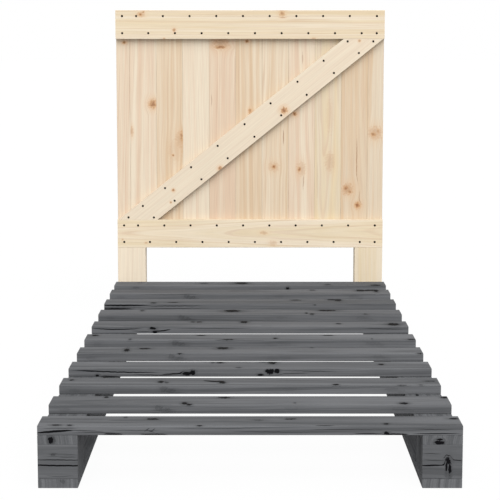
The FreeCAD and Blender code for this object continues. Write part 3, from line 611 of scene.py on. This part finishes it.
# Knots of each board: x and z in the whole frame, width and height, strength.
PANEL_KNOTS = {
    1: [(-417, 935, 10, 9, 0.9)],
    2: [(-324, 731, 26, 28, 0.45), (-324, 731, 20, 22, 0.85), (-394, 640, 8, 26, 0.45)],
    3: [(-236, 610, 22, 50, 0.35), (-257, 560, 7, 7, 0.8), (-250, 575, 40, 60, 0.18),
        (-229, 624, 8, 28, 0.7)],
    5: [(-98, 934, 42, 38, 0.45), (-98, 919, 32, 9, 0.85)],
    6: [(-10, 939, 9, 9, 0.9), (0, 708, 9, 14, 0.7)],
    7: [(79, 521, 28, 28, 0.3), (79, 521, 11, 11, 0.95)],
    8: [(149, 698, 11, 11, 0.95), (172, 514, 26, 38, 0.3), (165, 513, 9, 13, 0.85)],
    9: [(267, 538, 26, 52, 0.3), (266, 690, 20, 90, 0.12)],
    10: [(326, 446, 32, 34, 0.5), (322, 450, 14, 12, 0.85), (334, 438, 10, 10, 0.75),
         (361, 392, 22, 24, 0.35), (361, 392, 14, 15, 0.95)],
    11: [(417, 634, 42, 38, 0.4), (412, 630, 14, 11, 0.8), (428, 640, 8, 14, 0.6)],
}
# Fine dark streaks of resin: x and z, width and height, strength.
PANEL_STREAKS = {
    3: [(-221, 690, 3.0, 70, 0.3)],
    5: [(-128, 744, 3.0, 46, 0.5)],
    7: [(111.5, 621, 3.4, 60, 0.75)],
    8: [(174, 884, 5.0, 44, 0.4), (178, 468, 3.0, 56, 0.6)],
    9: [(225, 470, 3.0, 160, 0.3)],
    10: [(357, 540, 3.6, 170, 0.7), (364, 420, 3.0, 50, 0.55), (300, 410, 3.4, 70, 0.4)],
}
# Half depth of a knot that goes right through its board.
KNOT_THROUGH = 60
PANEL_KNOT_SHARE = 0.62
PANEL_WAVER = 9.0
STRAIGHT = (0, 0, 0)


def face_knots(marks, face, share):
    """Knots on a board's face. Their half sizes are this share of the width and height listed."""
    return [((x, face, z), (share * width, KNOT_THROUGH, share * height), strength)
            for x, z, width, height, strength in marks]


panel_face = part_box("panel_board_01")[0].y / MM
for number, (ground, streak, streak_share, depth, sideways, ring) in enumerate(PANEL_BOARDS, 1):
    clear_pine(f"panel_board_{number:02d}", UP, FRONT, flat_sawn(depth, sideways, ring, PANEL_WAVER),
               seed=120 + 3 * number, ground=ground, streak=streak, streak_share=streak_share,
               knots=face_knots(PANEL_KNOTS.get(number, []), panel_face, PANEL_KNOT_SHARE),
               checks=[((x, panel_face, z), (width / 2, 1, height / 2), strength, STRAIGHT, STRAIGHT)
                       for x, z, width, height, strength in PANEL_STREAKS.get(number, [])],
               seam_shade=True)

# Rails: two boards across the front of the panel at its top and its foot, of clear pine with the grain
# across, nailed on in two rows. The lower one is flat-sawn, with long pointed arches in its figure.

rail_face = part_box("top_rail")[0].y / MM
TOP_RAIL_KNOTS = [(-360, 1027, 27, 19, 0.4), (-362, 1026, 11, 9, 0.9), (-352, 1034, 10, 7, 0.7),
                  (-251, 975, 13, 14, 0.5), (-251, 975, 9, 10, 0.75), (-284, 948, 7, 4, 0.6),
                  (106, 1028, 22, 22, 0.4), (106, 1030, 14, 13, 0.7), (108, 1016, 24, 5, 0.4),
                  (210, 948, 16, 5, 0.4)]
BOTTOM_RAIL_KNOTS = [(46, 301, 26, 12, 0.4), (77, 266, 26, 18, 0.3), (-349, 267, 9, 7, 0.4),
                     (-428, 278, 6, 6, 0.4)]
clear_pine("top_rail", ACROSS, FRONT, flat_sawn(35, 95, 3.4, 5.0, 0.004), seed=171,
           ground=CREAM, streak=STRAW, streak_share=0.45, lines=0.48,
           knots=face_knots(TOP_RAIL_KNOTS, rail_face, 0.5),
           checks=[((20, rail_face, 1021), (420, 1, 0.9), 0.35, STRAIGHT, STRAIGHT)])
clear_pine("bottom_rail", ACROSS, FRONT, flat_sawn(42, 4, 5.5, 9.0, 0.02), seed=172,
           ground=PALE, streak=STRAW, streak_share=0.4,
           knots=face_knots(BOTTOM_RAIL_KNOTS, rail_face, 0.5))

# Diagonal brace: one board from the lower left to the upper right, cut level at both ends to fit
# between the rails, and nailed on in two rows along its edges.

BRACE_WIDTH = 82 * MM
brace_low, brace_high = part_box("diagonal_brace")
brace_run, brace_rise = brace_high.x - brace_low.x, brace_high.z - brace_low.z
slope = math.atan2(brace_rise, brace_run) + math.asin(BRACE_WIDTH / math.hypot(brace_run, brace_rise))
brace_grain = Vector((math.cos(slope), 0, math.sin(slope)))
BRACE_KNOTS = [(113, 711, 11, 11, 0.9), (-256, 444, 4.5, 5, 0.85), (-265, 404, 3.5, 3.5, 0.7),
               (-100, 518, 9, 5, 0.8), (361, 940, 5, 4, 0.6), (-150, 470, 6, 4, 0.2)]
clear_pine("diagonal_brace", brace_grain, FRONT, flat_sawn(45, -60, 3.4, 6.0, 0.006), seed=181,
           ground=CREAM, streak=BLUSH, streak_share=0.4, lines=0.14,
           knots=face_knots(BRACE_KNOTS, rail_face, 1))

# Nails: round-headed, of blackened steel. They are driven through rails and brace into the boards of
# the panel, in two rows on each rail and along both edges of the brace.

STEEL_SPOT_RATE = 900.0
STEEL_SPOT_TONE = 0.6
STEEL_SPOT_ROUGHNESS = 0.2


def steel(name, colour, metallic, specular, roughness, nodes):
    """Hard steel with a thin finish: a little uneven in tone and gloss."""
    material, tree, shader = start_material(name)
    coordinates = add(tree, "TexCoord").outputs["Object"]
    spots = noise(tree, stretch(tree, coordinates, STEEL_SPOT_RATE), seed=5.0, detail=3.0).outputs[0]
    deep = tuple(STEEL_SPOT_TONE * part for part in colour[:3]) + (1,)
    bump = add(tree, "Bump", {"Height": spots, "Distance": 0.0001, "Strength": 0.3})
    fill(tree, shader, {
        "Base Color": blend(tree, spots, colour, deep), "Metallic": metallic,
        "Specular IOR Level": specular, "Normal": bump.outputs[0],
        "Roughness": calc(tree, "MULTIPLY_ADD", spots, STEEL_SPOT_ROUGHNESS, roughness)})
    for node in nodes:
        dress(node, material)


steel("blackened steel", (0.006, 0.004, 0.003, 1), metallic=0.0, specular=0.0, roughness=0.6,
      nodes=("top_rail_nails", "bottom_rail_nails", "brace_nails"))

# Screws: zinc-plated steel. None shows from the front: they hold slats, beams and stiles from below
# and behind, and four coach screws with washers fix the legs to the rear blocks.

steel("zinc plated steel", (0.66, 0.67, 0.68, 1), metallic=1.0, specular=0.5, roughness=0.28,
      nodes=("slat_screws", "beam_screws", "headboard_screws", "coach_screws", "coach_washers"))

# Studio: a plain white floor that runs out of sight under even white light, with a soft key light above
# and in front of the bed, a little to its right. The camera stands in front of the foot end.

FLOOR_GREY = (0.45, 0.45, 0.45, 1)
WHITE = (1, 1, 1, 1)
FLOOR_GLOW_SHARE = 0.96


def seen_rays(tree):
    """1 for a ray that shows the studio itself, straight or in gloss, and 0 for one that brings its light."""
    rays = add(tree, "LightPath").outputs
    mirrored = calc(tree, "MAXIMUM", rays["Is Glossy Ray"], rays["Is Transmission Ray"])
    return calc(tree, "MAXIMUM", rays["Is Camera Ray"], mirrored)


def white_floor():
    """White where it is seen, with a share that takes the bed's shadow, and grey as it lights."""
    material, tree, shader = start_material("white floor")
    seen = seen_rays(tree)
    fill(tree, shader, {"Base Color": blend(tree, seen, FLOOR_GREY, WHITE), "Roughness": 0.9,
                        "Specular IOR Level": 0.0})
    glow = add(tree, "Emission", {"Color": WHITE, "Strength": 1.0}).outputs[0]
    share = calc(tree, "MULTIPLY", seen, FLOOR_GLOW_SHARE)
    mixed = add(tree, "MixShader", {0: share, 1: shader.outputs[0], 2: glow}).outputs[0]
    tree.links.new(mixed, tree.nodes["Material Output"].inputs["Surface"])
    return material


FLOOR_REACH = 60
corners = [(x * FLOOR_REACH, y * FLOOR_REACH, 0) for x, y in ((-1, -1), (1, -1), (1, 1), (-1, 1))]
floor_mesh = bpy.data.meshes.new("floor")
floor_mesh.from_pydata(corners, [], [(0, 1, 2, 3)])
floor_mesh.materials.append(white_floor())
floor = bpy.data.objects.new("floor", floor_mesh)
bpy.context.scene.collection.objects.link(floor)

world = bpy.data.worlds.new("white studio")
bpy.context.scene.world = world
world.use_nodes = True
sky = world.node_tree
SKY_LIGHT = 0.64
strength = calc(sky, "MULTIPLY_ADD", seen_rays(sky), 1.0 - SKY_LIGHT, SKY_LIGHT)
fill(sky, sky.nodes["Background"], {"Color": WHITE, "Strength": strength})

KEY_SPREAD = 56
KEY_HEIGHT = 42
KEY_TURN = 10
KEY_STRENGTH = 2.1
key_data = bpy.data.lights.new("key light", "SUN")
key_data.angle = math.radians(KEY_SPREAD)
key_data.energy = KEY_STRENGTH
key = bpy.data.objects.new("key light", key_data)
key.rotation_euler = (math.radians(90 - KEY_HEIGHT), 0, math.radians(KEY_TURN))
bpy.context.scene.collection.objects.link(key)

CAMERA_PLACE = (-0.0002, -4.0784, 0.9463)
CAMERA_PITCH = 7.065
CAMERA_LENS = 108.13
CAMERA_SHIFT = -0.05
camera_data = bpy.data.cameras.new("camera")
camera_data.sensor_width = 36
camera_data.lens = CAMERA_LENS
camera_data.shift_y = CAMERA_SHIFT
camera_data.clip_end = 200
camera = bpy.data.objects.new("camera", camera_data)
camera.location = CAMERA_PLACE
camera.rotation_euler = (math.radians(90 - CAMERA_PITCH), 0, 0)
bpy.context.scene.collection.objects.link(camera)
bpy.context.scene.camera = camera
bpy.context.scene.view_settings.view_transform = "Standard"
